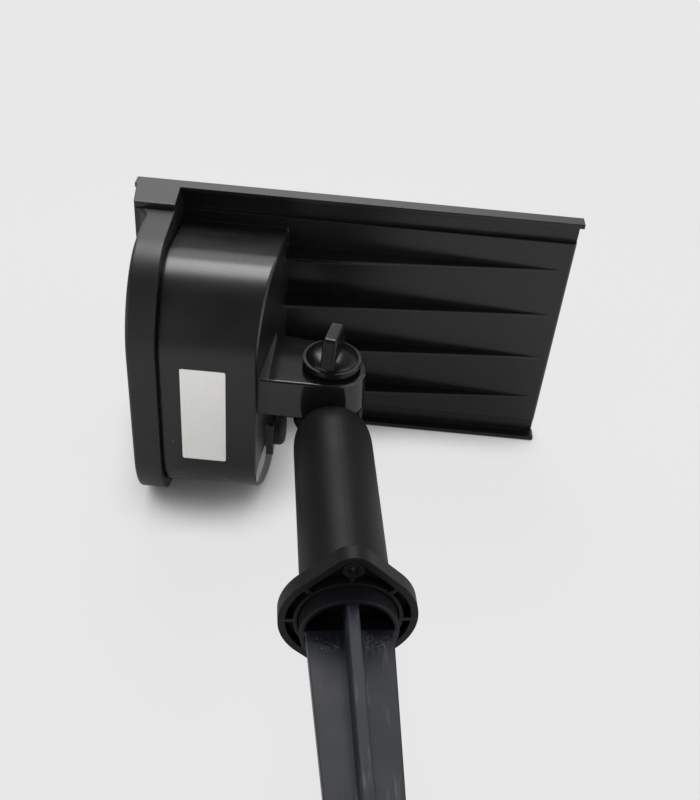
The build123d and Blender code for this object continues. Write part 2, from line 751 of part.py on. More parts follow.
with BuildPart() as wing:
    with BuildSketch(KNOB.offset(-WING_T / 2)) as wing_face:
        with BuildLine():
            Polyline(
                (-KNOB_R + KNOB_STEP, KNOB_RIM / 2),
                (KNOB_R - KNOB_STEP, KNOB_RIM / 2),
                (WING_TOP / 2, KNOB_H),
                (-WING_TOP / 2, KNOB_H),
                close=True,
            )
        make_face()
        fillet(wing_face.vertices().group_by(Axis.Y)[-1], radius=WING_CORNER_R)
    extrude(amount=WING_T)
    sides = wing.faces().sort_by(SortBy.AREA)[-2:]
    fillet(sides.edges().sort_by(Axis.X)[2:], radius=WING_EDGE_R)

with BuildPart() as wing_knob:
    with BuildSketch(KNOB):
        with BuildLine():
            Line((0, 0), (KNOB_R, 0))
            Line((KNOB_R, 0), (KNOB_R, KNOB_RIM))
            Line((KNOB_R, KNOB_RIM), (KNOB_R - KNOB_STEP, KNOB_RIM))
            EllipticalCenterArc(
                (0, KNOB_RIM), KNOB_R - KNOB_STEP, KNOB_DOME, start_angle=0, arc_size=QUARTER_TURN
            )
            Line((0, KNOB_RIM + KNOB_DOME), (0, 0))
        make_face()
    revolve(axis=Axis(HEAD.origin, HEAD.x_dir))
    add(wing.part)
    with BuildSketch(SIDE.offset(ARM_OUTER + KNOB_LIFT)):
        Circle(WASHER_R + FIT)
    extrude(amount=WASHER_T - KNOB_LIFT + SEAT_GAP, mode=Mode.SUBTRACT)
    with BuildSketch(SIDE.offset(ARM_OUTER)):
        Circle(BOLT_R)
    extrude(amount=BOLT_GRIP, mode=Mode.SUBTRACT)

with BuildPart() as hinge_bolt:
    with BuildSketch(SIDE.offset(NUT_OUT - BOLT_PAST)):
        Circle(BOLT_R)
    extrude(amount=ARM_OUTER + BOLT_GRIP - NUT_OUT + BOLT_PAST)

with BuildPart() as friction_washer:
    with BuildSketch(SIDE.offset(TONGUE_OUT)):
        Circle(FRICTION_R)
        Circle(BOLT_R + PIN_FIT, mode=Mode.SUBTRACT)
    extrude(amount=FRICTION_T)

# Stem: tube with a rounded shoulder, a flat tongue on the hinge axis, and a ribbed two-eared flange
TONGUE = Plane(origin=(TONGUE_OUT, 0, HINGE_H), x_dir=(0, 1, 0), z_dir=(1, 0, 0))

with BuildPart() as stem:
    with BuildSketch(Plane.XZ):
        with BuildLine():
            Polyline((0, SHOULDER_Z), (0, 0), (TUBE_R, 0), (TUBE_R, SHOULDER_Z - SHOULDER_DROP))
            EllipticalCenterArc(
                (NECK_HALF, SHOULDER_Z - SHOULDER_DROP),
                TUBE_R - NECK_HALF,
                SHOULDER_DROP,
                start_angle=0,
                arc_size=QUARTER_TURN,
            )
            Line((NECK_HALF, SHOULDER_Z), (0, SHOULDER_Z))
        make_face()
    revolve(axis=Axis.Z)
    with BuildSketch(TONGUE):
        Circle(ARM_R)
        with Locations((0, -SHOULDER_TOP / 2)):
            Rectangle(2 * NECK_HALF, SHOULDER_TOP)
    extrude(amount=-TONGUE_T)
    with BuildSketch():
        Circle(FLANGE_R)
        with GridLocations(2 * EAR_X, 0, 2, 1):
            Circle(EAR_R)
        make_hull()
    extrude(amount=FLANGE_H)
    with BuildSketch():
        Circle(FLANGE_R - RIM_T)
        with GridLocations(2 * EAR_X, 0, 2, 1):
            Circle(EAR_R - RIM_T)
        make_hull()
        Circle(RING_R, mode=Mode.SUBTRACT)
        with PolarLocations(0, FLANGE_RIBS, angular_range=180):
            Rectangle(2 * (EAR_X + EAR_R), FLANGE_RIB_T, mode=Mode.SUBTRACT)
        with GridLocations(2 * SCREW_X, 0, 2, 1):
            Circle(SCREW_BOSS_R, mode=Mode.SUBTRACT)
    extrude(amount=SOCKET_H, mode=Mode.SUBTRACT)
    with BuildSketch():
        Circle(RING_R - RING_T)
    extrude(amount=SOCKET_H, mode=Mode.SUBTRACT)
    with BuildSketch():
        Circle(BORE_R)
    extrude(amount=SHOULDER_Z - TUBE_ROOF, mode=Mode.SUBTRACT)
    with BuildSketch():
        with GridLocations(2 * SCREW_X, 0, 2, 1):
            Circle(SCREW_HOLE_R)
    extrude(amount=FLANGE_H, mode=Mode.SUBTRACT)
    with BuildSketch(TONGUE):
        Circle(BOLT_R + PIN_FIT)
    extrude(amount=-TONGUE_T, mode=Mode.SUBTRACT)
    with BuildSketch(TONGUE.offset(-TONGUE_T)):
        RegularPolygon(NUT_AF / 2 + SEAT_GAP, side_count=6, major_radius=False)
    extrude(amount=NUT_T, mode=Mode.SUBTRACT)

with BuildPart() as hinge_nut:
    with BuildSketch(TONGUE.offset(-TONGUE_T)):
        RegularPolygon(NUT_AF / 2, side_count=6, major_radius=False)
        Circle(BOLT_R + PIN_FIT, mode=Mode.SUBTRACT)
    extrude(amount=NUT_T)

# Spike: plug and cup that seat in the stem, and a cross of two tapering blades
with BuildPart() as spike:
    with BuildSketch(Plane.XZ):
        with BuildLine():
            Polyline(
                (0, CUP_TOP - CUP_ROOF),
                (CUP_R - CUP_WALL, CUP_TOP - CUP_ROOF),
                (CUP_R - CUP_WALL, -CUP_DROP),
                (CUP_R, -CUP_DROP),
                (CUP_R, CUP_TOP),
                (BORE_R - PIN_FIT, CUP_TOP),
                (BORE_R - PIN_FIT, CUP_TOP + PLUG_L),
                (BORE_R - PLUG_WALL, CUP_TOP + PLUG_L),
                (BORE_R - PLUG_WALL, CUP_TOP),
                (0, CUP_TOP),
                close=True,
            )
        make_face()
    revolve(axis=Axis.Z)
    for plane, thick, web in ((Plane.YZ, BLADE_T, WEB_T), (Plane.XZ, FIN_T, FIN_T)):
        with BuildSketch(plane.offset(-thick / 2)):
            with BuildLine():
                Polyline(
                    (-BLADE_W / 2, -CUP_DROP),
                    (BLADE_W / 2, -CUP_DROP),
                    (BLADE_END_W / 2, POINT_L - SPIKE_L),
                    (POINT_W / 2, -SPIKE_L),
                    (-POINT_W / 2, -SPIKE_L),
                    (-BLADE_END_W / 2, POINT_L - SPIKE_L),
                    close=True,
                )
            make_face()
        extrude(amount=thick)
        with BuildSketch(plane.offset(-web / 2)):
            with Locations((0, (CUP_TOP - CUP_ROOF - CUP_DROP) / 2)):
                Rectangle(2 * CUP_R - CUP_WALL, CUP_TOP - CUP_ROOF + CUP_DROP)
        extrude(amount=web)

pieces = {
    "head_shell": head_shell,
    "solar_panel": solar_panel,
    "panel_seal": panel_seal,
    "front_bezel": front_bezel,
    "bezel_screws": bezel_screws,
    "lens": lens,
    "lens_gasket": lens_gasket,
    "reflector": reflector,
    "led_board": led_board,
    "leds": leds,
    "led_screws": led_screws,
    "push_button": push_button,
    "tact_switch": tact_switch,
    "control_board": control_board,
    "control_screws": control_screws,
    "battery_cell": battery_cell,
    "battery_contacts": battery_contacts,
    "battery_holder": battery_holder,
    "knob_washer": knob_washer,
    "wing_knob": wing_knob,
    "hinge_bolt": hinge_bolt,
    "friction_washer": friction_washer,
    "stem": stem,
    "hinge_nut": hinge_nut,
    "spike": spike,
}
for name, piece in pieces.items():
    piece.part.label = name
    export_step(piece.part, f"parts/{name}.step")
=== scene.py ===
import math

import bpy
import numpy as np
from mathutils import Matrix, Vector


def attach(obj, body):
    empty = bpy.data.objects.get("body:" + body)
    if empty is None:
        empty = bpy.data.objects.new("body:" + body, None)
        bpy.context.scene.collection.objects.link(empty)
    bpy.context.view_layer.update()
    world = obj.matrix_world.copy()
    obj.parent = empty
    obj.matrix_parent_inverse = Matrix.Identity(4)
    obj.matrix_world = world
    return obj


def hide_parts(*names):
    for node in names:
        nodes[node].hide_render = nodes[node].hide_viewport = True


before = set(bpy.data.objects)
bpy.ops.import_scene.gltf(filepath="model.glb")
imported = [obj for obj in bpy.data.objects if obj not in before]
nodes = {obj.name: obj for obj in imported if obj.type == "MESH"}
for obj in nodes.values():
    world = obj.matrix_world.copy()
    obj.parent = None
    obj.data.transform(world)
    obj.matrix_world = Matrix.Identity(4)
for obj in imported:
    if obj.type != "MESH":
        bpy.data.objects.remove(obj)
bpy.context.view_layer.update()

MM = 0.001

# Places repeated from the part's source, in millimetres, and slopes. A drop is measured under the tray's top face
TILT = math.radians(7.5)
HINGE_H = 109.5
HINGE_U = 87.4
HINGE_DROP = 62.6
BOWL_DEPTH = 78.7
BOWL_BACK = 63.5
BOWL_NECK = 42.8
BOWL_R = 30.0
KNEE_DROP = 45.0
BACK_LEAN = math.radians(5.6)
PLATE_T = 3.9
FLARE = math.radians(13.5)
BEZEL_BACK = 18.4
BEZEL_D = 11.0
FRONT_LEAN = math.radians(2.8)
FIT = 0.3
SCREW_INSET = 4.3
SCREW_DROP = 27.6
SCREW_HEAD_R = 2.6
SCREW_HEAD_H = 1.8
SCREW_R = 1.4
SCREW_L = 17.0
PANEL_MIDDLE = 92.05
LED_DROP = 47.2
LED_PITCH_X = 9.0
LED_PITCH_Y = 7.0
CUP_DROP = 5.4

# A sticker, a sheet of painted highlight and cross-recessed screws that only the scene has, in millimetres
LABEL_L, LABEL_W, LABEL_CORNER = 45.0, 17.4, 0.8
LABEL_U, LABEL_V = 39.6, -0.85
OVAL_L, OVAL_W = 18.0, 10.0
OVAL_V, OVAL_DROP = -33.0, 67.5
SLAB_T = 0.12
CROWN_FALL = 0.55
CROWN_EDGE = 0.2
HEAD_SHOULDER = 0.85
RECESS_R, RECESS_FADE = 1.75, 0.5
RECESS_HALF, RECESS_WALL = 0.5, 0.15
RECESS_DEPTH = 1.0
THREAD_PITCH, THREAD_RISE = 1.1, 0.16
THREAD_START, THREAD_END = 0.2, SCREW_L - 2.2
TIP_DROPS = (SCREW_L - 1.2, SCREW_L - 0.4)
TIP_RADII = (0.8, 0.3)

# Patterns of the finishes, in millimetres; a pair is where something starts and where it is full
MOTTLE = 22.0
SEAM = (0.25, 0.0)
ARM_BACK = (BOWL_BACK + 0.3, BOWL_BACK + 1.3)
ARM_TOP = (22.0, 18.0)
BLADE_TOP = (-CUP_DROP, -CUP_DROP - 0.6)
STREAK, RUB, CURL = 1.6, 14.0, 3.2
PATCH_INNER, PATCH_OUTER = (3.2, 5.0), (12.4, 10.6)
PATCH_TOP, PATCH_FOOT = (-7.0, -8.6), (-14.0, -12.0)
TRACK_GRID, TRACK_RISE = 4.0, 0.05
CELL_PITCH, CELL_L, CELL_HALF_W = 13.4, 12.7, 41.5
FINGER_PITCH, FINGER_W = 2.2, 0.22
RIBBON_OFF, RIBBON_HALF = 20.0, 0.8
GRAIN, DIMPLE, DIMPLE_DEPTH = 7.0, 0.9, 0.02
WINDOW_EDGE = (1.4, 1.25)
WAVE, WAVE_DEPTH = 16.0, 0.15

# Counts, shares and ranges of noise in the finishes
CELLS_EACH_SIDE = 6
DRIFT = (0.3, 0.7)
SPECK, SPECK_TINT, SPECK_RARITY = (0.03, 0.012), 0.5, 0.72
SEAM_RISE, SEAM_TINT = 3.0, 0.5
ARM_SHEEN = 0.3
BLADE_TINT = 0.85
STREAK_SQUEEZE, STREAK_RANGE, STREAK_TINT = 0.12, (0.52, 0.72), 0.4
RUB_RANGE, RUB_ROUGHENS = (0.42, 0.66), 0.2
CURL_LINE, CURL_TINT = (0.035, 0.008), 0.75
FINGER_TINT = 0.55

HEAD_SIDE = np.array((1.0, 0, 0))
HEAD_BACK = np.array((0, math.cos(TILT), -math.sin(TILT)))
HEAD_UP = np.array((0, math.sin(TILT), math.cos(TILT)))


def head_place(u, v, n):
    """Point of the head u behind the tray's front edge, v to the knob's side, n under the top face, in metres."""
    back, up = u - HINGE_U, HINGE_DROP - n
    y = back * math.cos(TILT) + up * math.sin(TILT)
    z = HINGE_H - back * math.sin(TILT) + up * math.cos(TILT)
    return np.array((v, y, z)) * MM


# Settings that many nodes share, and the sockets of a Mix node's factor, two colours and result
SOFT = {"interpolation_type": "SMOOTHSTEP"}
TIMES = {"operation": "MULTIPLY"}
COLOURS = {"data_type": "RGBA"}
FACTOR, BELOW, ABOVE, MIXED = 0, 6, 7, 2


def linear(code):
    """Linear RGBA of an sRGB hex colour."""
    parts = [int(code[i:i + 2], 16) / 255 for i in (1, 3, 5)]
    return [p / 12.92 if p <= 0.04045 else ((p + 0.055) / 1.055) ** 2.4 for p in parts] + [1.0]


def feed(tree, node, feeds):
    """Fills a node's inputs: a socket is linked, a hex colour is turned to linear, any other value is held."""
    for socket, value in feeds.items():
        if isinstance(value, bpy.types.NodeSocket):
            tree.links.new(value, node.inputs[socket])
        else:
            node.inputs[socket].default_value = linear(value) if isinstance(value, str) else value


def add(tree, kind, feeds=(), **settings):
    """Adds one node with its settings and gives its outputs; feeds go to its inputs in order, or by key."""
    made = tree.nodes.new("ShaderNode" + kind)
    for name, value in settings.items():
        setattr(made, name, value)
    feed(tree, made, feeds if isinstance(feeds, dict) else dict(enumerate(feeds)))
    return made.outputs


def per_mm(size):
    """Texture scale that gives features of this size in millimetres."""
    return 1 / (size * MM)


def metres(pair):
    """A pair of millimetres in metres."""
    return pair[0] * MM, pair[1] * MM


def surface(name, **sockets):
    """A material with plain values on its shader's sockets; gives it, its tree, its shader and Object
    coordinates."""
    material = bpy.data.materials.new(name)
    material.use_nodes = True
    tree = material.node_tree
    shader = tree.nodes["Principled BSDF"]
    feed(tree, shader, {socket.replace("_", " "): value for socket, value in sockets.items()})
    return material, tree, shader, add(tree, "TexCoord")["Object"]


def in_head(tree, place):
    """Object coordinates turned to the head's axes: v, u and height over the hinge axis, in metres."""
    shift = (0, (HINGE_U + HINGE_H * math.sin(TILT)) * MM, -HINGE_H * math.cos(TILT) * MM)
    turned = add(tree, "Mapping", {"Vector": place, "Rotation": (TILT, 0, 0), "Location": shift})[0]
    return add(tree, "SeparateXYZ", (turned,))


def parting_line(tree, place, tone, sheen, height):
    """Where the two halves of the mould met, in the plane of X = 0: a fine ridge, rubbed paler."""
    off = add(tree, "Math", (add(tree, "SeparateXYZ", (place,))["X"],), operation="ABSOLUTE")[0]
    ridge = add(tree, "MapRange", (off, *metres(SEAM)), **SOFT)[0]
    height = add(tree, "Math", (ridge, SEAM_RISE, height), operation="MULTIPLY_ADD")[0]
    rubbed = add(tree, "Math", (ridge, SEAM_TINT), **TIMES)[0]
    tone = add(tree, "Mix", {FACTOR: rubbed, BELOW: tone, ABOVE: "#3A3A3A"}, **COLOURS)[MIXED]
    return tone, sheen, height


def polished_arm(tree, place, tone, sheen, height):
    """The hinge arm, behind the bowl and low on the head, comes out of a polished pocket of the mould."""
    _, back, up = in_head(tree, place)
    behind_bowl = add(tree, "MapRange", (back, *metres(ARM_BACK)), **SOFT)[0]
    low_down = add(tree, "MapRange", (up, *metres(ARM_TOP)), **SOFT)[0]
    on_arm = add(tree, "Math", (behind_bowl, low_down), **TIMES)[0]
    kept = add(tree, "MapRange", (on_arm, 0.0, 1.0, 1.0, ARM_SHEEN))[0]
    sheen = add(tree, "Math", (sheen, kept), **TIMES)[0]
    return tone, sheen, height


def rubbed_blade(tree, place, tone, sheen, height):
    """The spike's blade, under its cup: bluish, streaked lengthways where it was rubbed, and marked with pale
    curls in a patch on each side of the middle fin."""
    _, side, up = add(tree, "SeparateXYZ", (place,))
    blade = add(tree, "MapRange", (up, *metres(BLADE_TOP)), **SOFT)[0]
    tint = add(tree, "Math", (blade, BLADE_TINT), **TIMES)[0]
    tone = add(tree, "Mix", {FACTOR: tint, BELOW: tone, ABOVE: "#2A2C33"}, **COLOURS)[MIXED]

    drawn = add(tree, "Mapping", {"Vector": place, "Scale": (1, 1, STREAK_SQUEEZE)})[0]
    streak = add(tree, "TexNoise", {"Vector": drawn, "Scale": per_mm(STREAK), "Detail": 4.0})["Fac"]
    streak = add(tree, "MapRange", (streak, *STREAK_RANGE, 0.0, STREAK_TINT), **SOFT)[0]
    rub = add(tree, "TexNoise", {"Vector": place, "Scale": per_mm(RUB)})["Fac"]
    rub = add(tree, "MapRange", (rub, *RUB_RANGE), **SOFT)[0]
    streak = add(tree, "Math", (streak, rub), **TIMES)[0]
    streak = add(tree, "Math", (streak, blade), **TIMES)[0]

    curl = add(tree, "TexNoise", {
        "Vector": place, "Scale": per_mm(CURL), "Detail": 1.0, "Distortion": 1.5})["Fac"]
    curl = add(tree, "Math", (curl, 0.5), operation="SUBTRACT")[0]
    curl = add(tree, "Math", (curl,), operation="ABSOLUTE")[0]
    curl = add(tree, "MapRange", (curl, *CURL_LINE, 0.0, CURL_TINT), **SOFT)[0]
    off = add(tree, "Math", (side,), operation="ABSOLUTE")[0]
    for axis, edge in ((off, PATCH_INNER), (off, PATCH_OUTER), (up, PATCH_TOP), (up, PATCH_FOOT)):
        inside = add(tree, "MapRange", (axis, *metres(edge)), **SOFT)[0]
        curl = add(tree, "Math", (curl, inside), **TIMES)[0]

    rubbed = add(tree, "Math", (streak, curl), operation="MAXIMUM")[0]
    tone = add(tree, "Mix", {FACTOR: rubbed, BELOW: tone, ABOVE: "#7C7E82"}, **COLOURS)[MIXED]
    sheen = add(tree, "Math", (rubbed, RUB_ROUGHENS, sheen), operation="MULTIPLY_ADD")[0]
    return tone, sheen, height


def moulded_plastic(name, colour, pale, rough, specular, grain, depth, dust, edge, detail=None):
    """Injection-moulded plastic: a fine eroded grain that breaks up the gloss, faintly uneven sheen over some
    centimetres, edges rounded by the mould, a few specks of dust, and one detail more if asked. Sizes in
    millimetres."""
    material, tree, shader, place = surface(name, IOR=1.5, Specular_IOR_Level=specular)
    mottle = add(tree, "TexNoise", {"Vector": place, "Scale": per_mm(MOTTLE), "Detail": 3.0})["Fac"]
    sheen = add(tree, "MapRange", (mottle, *DRIFT, rough - 0.03, rough + 0.04), **SOFT)[0]
    tone = add(tree, "Mix", {FACTOR: mottle, BELOW: colour, ABOVE: pale}, **COLOURS)[MIXED]
    height = add(tree, "TexNoise", {"Vector": place, "Scale": per_mm(grain), "Detail": 2.0})["Fac"]

    specks = add(tree, "TexVoronoi", {"Vector": place, "Scale": per_mm(dust)})
    near = add(tree, "MapRange", (specks["Distance"], *SPECK, 0.0, SPECK_TINT), **SOFT)[0]
    draw = add(tree, "SeparateColor", (specks["Color"],))["Red"]
    chosen = add(tree, "Math", (draw, SPECK_RARITY), operation="GREATER_THAN")[0]
    fleck = add(tree, "Math", (near, chosen), **TIMES)[0]
    tone = add(tree, "Mix", {FACTOR: fleck, BELOW: tone, ABOVE: "#8C8A84"}, **COLOURS)[MIXED]

    if detail:
        tone, sheen, height = detail(tree, place, tone, sheen, height)
    rounded = add(tree, "Bevel", {"Radius": edge * MM}, samples=6)[0]
    bumped = add(tree, "Bump", {
        "Height": height, "Normal": rounded, "Strength": 1.0, "Distance": depth * MM})[0]
    feed(tree, shader, {"Base Color": tone, "Roughness": sheen, "Normal": bumped})
    return material


# Black ABS of the head: satin from a fine spark-eroded mould, deep black with a soft broad highlight.
# The real grain is about 0.2 mm; on all these plastics it is drawn at 0.5 to 0.9 mm so that it shows
head_abs = moulded_plastic(
    "moulded_black_abs", "#131314", "#18181A", rough=0.3, specular=0.45,
    grain=0.6, depth=0.014, dust=14, edge=0.7, detail=polished_arm)
# Bezel: the same ABS from a coarser mould, so its highlight is broader and dimmer
bezel_abs = moulded_plastic(
    "satin_black_abs", "#131314", "#18181A", rough=0.41, specular=0.4,
    grain=0.6, depth=0.016, dust=14, edge=0.7)
# Black polypropylene of the stem: a rougher mould, so its highlight is duller; the line between its halves shows
stem_pp = moulded_plastic(
    "matt_black_polypropylene", "#0E0E0E", "#131313", rough=0.47, specular=0.15,
    grain=0.8, depth=0.012, dust=11, edge=0.4, detail=parting_line)
# Spike: the same resin from a cheaper tool, with a bluish blade that is rubbed and scuffed
spike_pp = moulded_plastic(
    "scuffed_blue_black_polypropylene", "#121315", "#17181B", rough=0.44, specular=0.2,
    grain=0.9, depth=0.014, dust=9, edge=0.8, detail=rubbed_blade)
# Knob: polished pocket of the tool, glossier than the head
knob_abs = moulded_plastic(
    "glossier_black_abs", "#121213", "#161617", rough=0.2, specular=0.22,
    grain=0.6, depth=0.004, dust=14, edge=0.2)
# Silicone rubber of button, gasket and friction washer: no gloss, picks up dust
rubber = moulded_plastic(
    "black_silicone_rubber", "#1A1A1A", "#212121", rough=0.62, specular=0.3,
    grain=0.5, depth=0.008, dust=6, edge=0.3)


def toned(name, dark, pale, size, rough, **sockets):
    """Material whose colour drifts between two tones and whose gloss drifts with it, over a size in
    millimetres."""
    material, tree, shader, place = surface(name, **sockets)
    drift = add(tree, "TexNoise", {"Vector": place, "Scale": per_mm(size), "Detail": 5.0})["Fac"]
    share = add(tree, "MapRange", (drift, *DRIFT), **SOFT)[0]
    tone = add(tree, "Mix", {FACTOR: share, BELOW: dark, ABOVE: pale}, **COLOURS)[MIXED]
    sheen = add(tree, "MapRange", (drift, *DRIFT, 0.85 * rough, 1.2 * rough), **SOFT)[0]
    feed(tree, shader, {"Base Color": tone, "Roughness": sheen})
    return material


# Butyl bed under the panel, dull and black
sealant = toned("black_butyl_sealant", "#0E0E0E", "#161616", size=2.0, rough=0.6)
# White ABS of the reflector and of the switch: bright, glossy, hardly any drift of tone
reflector_abs = toned("glossy_white_abs", "#E2E2DC", "#ECECE8", size=12.0, rough=0.22)
# Zinc plate on steel: bluish bright metal, cloudy from the bath
zinc = toned("zinc_plated_steel", "#A9ADB3", "#C4C6C8", size=1.5, rough=0.3, Metallic=1.0)
# Shrink sleeve of the cell: thin glossy blue film
sleeve = toned("blue_shrink_sleeve", "#173568", "#1F4684", size=8.0, rough=0.28)
# Paper label: matt white with faint fibres
paper = toned("white_paper_label", "#EFEEEA", "#F5F4F0", size=0.8, rough=0.55)
# Painted highlight: a matt grey film that stands in for light caught on the bowl's rear wall
painted_highlight_film = toned("painted_highlight_grey_film", "#8C8C8A", "#9A9A98", size=3.0, rough=0.45)


def solder_mask(name, colour, track):
    """Lacquered circuit board: tracks under the lacquer show as slightly paler raised lines on a grid."""
    material, tree, shader, place = surface(name, Roughness=0.34, IOR=1.5)
    lines = add(tree, "TexBrick", {
        "Vector": place, "Scale": per_mm(TRACK_GRID),
        "Mortar Size": 0.06, "Brick Width": 1.7, "Row Height": 0.6})
    on_track = add(tree, "MapRange", (lines["Fac"], 0.2, 0.8), **SOFT)[0]
    tone = add(tree, "Mix", {FACTOR: on_track, BELOW: colour, ABOVE: track}, **COLOURS)[MIXED]
    raised = add(tree, "Bump", {"Height": on_track, "Strength": 0.6, "Distance": TRACK_RISE * MM})[0]
    feed(tree, shader, {"Base Color": tone, "Normal": raised})
    return material


# Epoxy lacquer on the boards: half glossy, green on the control board and white round the LEDs
mask_green = solder_mask("green_solder_mask", "#17522D", "#236B3E")
mask_white = solder_mask("white_solder_mask", "#DEDFDA", "#ECEDE9")


def laminated_cells():
    """Solar laminate: twelve dark blue cut cells in a row along the panel, thin silver fingers on them, two silver
    ribbons across all cells, black backing in the gaps, under a faintly dimpled clear film."""
    material, tree, shader, place = surface(
        "laminated_silicon_cells", IOR=1.5, Coat_Weight=0.6, Coat_Roughness=0.08)
    across, along, _ = in_head(tree, place)
    half_row = CELLS_EACH_SIDE * CELL_PITCH * MM
    along = add(tree, "Math", (along, PANEL_MIDDLE * MM - half_row), operation="SUBTRACT")[0]
    in_pitch = add(tree, "Math", (along, CELL_PITCH * MM), operation="FLOORED_MODULO")[0]
    off = add(tree, "Math", (across,), operation="ABSOLUTE")[0]
    from_middle = add(tree, "Math", (along, half_row), operation="SUBTRACT")[0]
    from_middle = add(tree, "Math", (from_middle,), operation="ABSOLUTE")[0]
    gap = add(tree, "Math", (in_pitch, CELL_L * MM), operation="GREATER_THAN")[0]
    rim = add(tree, "Math", (off, CELL_HALF_W * MM), operation="GREATER_THAN")[0]
    ends = add(tree, "Math", (from_middle, half_row), operation="GREATER_THAN")[0]
    border = add(tree, "Math", (rim, ends), operation="MAXIMUM")[0]
    backing = add(tree, "Math", (gap, border), operation="MAXIMUM")[0]

    in_finger = add(tree, "Math", (across, FINGER_PITCH * MM), operation="FLOORED_MODULO")[0]
    finger = add(tree, "Math", (in_finger, FINGER_W * MM), operation="LESS_THAN")[0]
    finger = add(tree, "Math", (finger, FINGER_TINT), **TIMES)[0]
    ribbon = add(tree, "Math", (off, RIBBON_OFF * MM, RIBBON_HALF * MM), operation="COMPARE")[0]
    inside = add(tree, "Math", (1.0, border), operation="SUBTRACT")[0]
    ribbon = add(tree, "Math", (ribbon, inside), **TIMES)[0]

    grains = add(tree, "TexVoronoi", {"Vector": place, "Scale": per_mm(GRAIN)})["Color"]
    tint = add(tree, "SeparateColor", (grains,))["Red"]
    tone = add(tree, "Mix", {FACTOR: tint, BELOW: "#0A1230", ABOVE: "#13204A"}, **COLOURS)[MIXED]
    for share, colour in ((finger, "#8D97A8"), (backing, "#07080B"), (ribbon, "#B8BCC2")):
        tone = add(tree, "Mix", {FACTOR: share, BELOW: tone, ABOVE: colour}, **COLOURS)[MIXED]
    sheen = add(tree, "MapRange", (ribbon, 0.0, 1.0, 0.3, 0.38), **SOFT)[0]
    dimples = add(tree, "TexVoronoi", {"Vector": place, "Scale": per_mm(DIMPLE)})["Distance"]
    film = add(tree, "Bump", {"Height": dimples, "Strength": 0.5, "Distance": DIMPLE_DEPTH * MM})[0]
    feed(tree, shader, {"Base Color": tone, "Roughness": sheen, "Normal": film})
    return material


# Silicon cells under film: deep blue that shifts from grain to grain, fine silver lines, a soft coat of gloss
laminate = laminated_cells()


def led_package():
    """LED package: a round yellow phosphor window in a white frame, repeated on the LEDs' grid."""
    material, tree, shader, place = surface("yellow_led_phosphor", Roughness=0.35)
    across, _, up = in_head(tree, place)
    row_foot = (HINGE_DROP - LED_DROP) * MM - LED_PITCH_Y / 2 * MM
    up = add(tree, "Math", (up, row_foot), operation="SUBTRACT")[0]
    from_led = []
    for way, pitch in ((across, LED_PITCH_X), (up, LED_PITCH_Y)):
        step = add(tree, "Math", (way, pitch * MM), operation="FLOORED_MODULO")[0]
        from_led.append(add(tree, "Math", (step, pitch / 2 * MM), operation="SUBTRACT")[0])
    far = add(tree, "CombineXYZ", from_led)[0]
    far = add(tree, "VectorMath", (far,), operation="LENGTH")["Value"]
    window = add(tree, "MapRange", (far, *metres(WINDOW_EDGE)), **SOFT)[0]
    tone = add(tree, "Mix", {FACTOR: window, BELOW: "#EDEDE6", ABOVE: "#E2BE3C"}, **COLOURS)[MIXED]
    feed(tree, shader, {"Base Color": tone})
    return material


# Phosphor in silicone: a warm yellow dot, half glossy, in the package's white rim
phosphor = led_package()


def clear_sheet():
    """Clear polycarbonate: polished, with the slow waviness of a moulded window."""
    material, tree, shader, place = surface(
        "clear_polycarbonate", Base_Color="#F2F5F6", Roughness=0.03, IOR=1.58, Transmission_Weight=1.0)
    wave = add(tree, "TexNoise", {"Vector": place, "Scale": per_mm(WAVE)})["Fac"]
    bent = add(tree, "Bump", {"Height": wave, "Strength": 0.3, "Distance": WAVE_DEPTH * MM})[0]
    feed(tree, shader, {"Normal": bent})
    return material


# Polycarbonate lens: clear and glossy, bending what lies behind it a little
clear = clear_sheet()

finishes = {
    "head_shell": head_abs, "front_bezel": bezel_abs, "stem": stem_pp, "spike": spike_pp, "wing_knob": knob_abs,
    "solar_panel": laminate, "panel_seal": sealant, "lens": clear, "lens_gasket": rubber,
    "friction_washer": rubber, "push_button": rubber, "reflector": reflector_abs, "leds": phosphor,
    "led_board": mask_white, "control_board": mask_green, "tact_switch": reflector_abs, "battery_cell": sleeve,
    "battery_holder": head_abs, "battery_contacts": zinc, "bezel_screws": zinc, "led_screws": zinc,
    "control_screws": zinc, "knob_washer": zinc, "hinge_bolt": zinc, "hinge_nut": zinc,
}
for name, finish in finishes.items():
    nodes[name].data.materials.clear()
    nodes[name].data.materials.append(finish)


def mesh_piece(name, points, quads, fans, finish, body, slot):
    """A new piece from its points in metres, riding on a body; its slot argument, a material slot of the record,
    is not used.
    """
    mesh = bpy.data.meshes.new(name)
    mesh.from_pydata(points.tolist(), [], quads.tolist() + fans.tolist())
    mesh.update()
    piece = bpy.data.objects.new(name, mesh)
    bpy.context.scene.collection.objects.link(piece)
    mesh.materials.append(finish)
    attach(piece, body)
    return piece


def ring_faces(rings, steps):
    """Quads between neighbouring rings of a grid, closed round each ring, and fans to a pole at either end: point
    j of ring k is number k * steps + j, and the first and last ring's poles follow the grid."""
    k, j = np.meshgrid(np.arange(rings - 1) * steps, np.arange(steps), indexing="ij")
    after = (j + 1) % steps
    quads = np.stack((k + j, k + after, k + steps + after, k + steps + j), -1).reshape(-1, 4)
    j, after = j[0], after[0]
    last = (rings - 1) * steps
    low, high = np.full(steps, rings * steps), np.full(steps, rings * steps + 1)
    fans = np.concatenate((np.stack((after, j, low), -1), np.stack((last + j, last + after, high), -1)))
    return quads, fans


